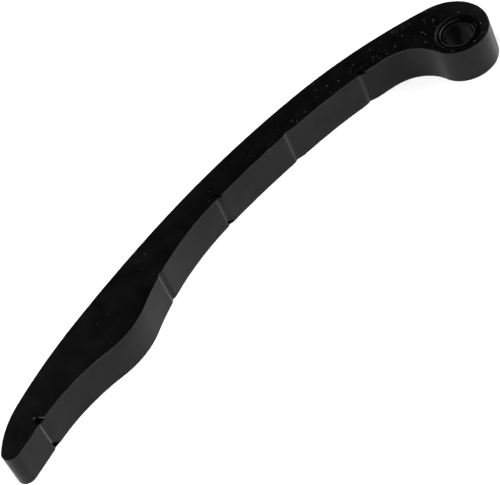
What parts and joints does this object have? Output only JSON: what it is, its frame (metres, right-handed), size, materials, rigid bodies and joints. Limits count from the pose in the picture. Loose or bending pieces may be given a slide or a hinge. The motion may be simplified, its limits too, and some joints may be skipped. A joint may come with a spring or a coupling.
{
  "type": "timing chain guide",
  "caption": "Bowed, moulded timing chain guide with a sleeved pivot eye, a tensioner pad on its back edge and shallow cross grooves.",
  "frame": {"origin": "middle of the guide's box in X and Y, on the lower of its two flat side faces", "axes": "+X along the blade towards the pivot eye, +Y out of the bowed chain face, +Z along the pivot axis and out of the upper side face"},
  "size_m": [0.1648, 0.0306, 0.01],
  "materials": {
    "moulding": "satin black as moulded, with a faint grain and fine specks of dust",
    "sleeve": "blackened and satin"
  },
  "bodies": {
    "root": {"guide_blade": "moulding", "pivot_sleeve": "sleeve"}
  },
  "joints": []
}
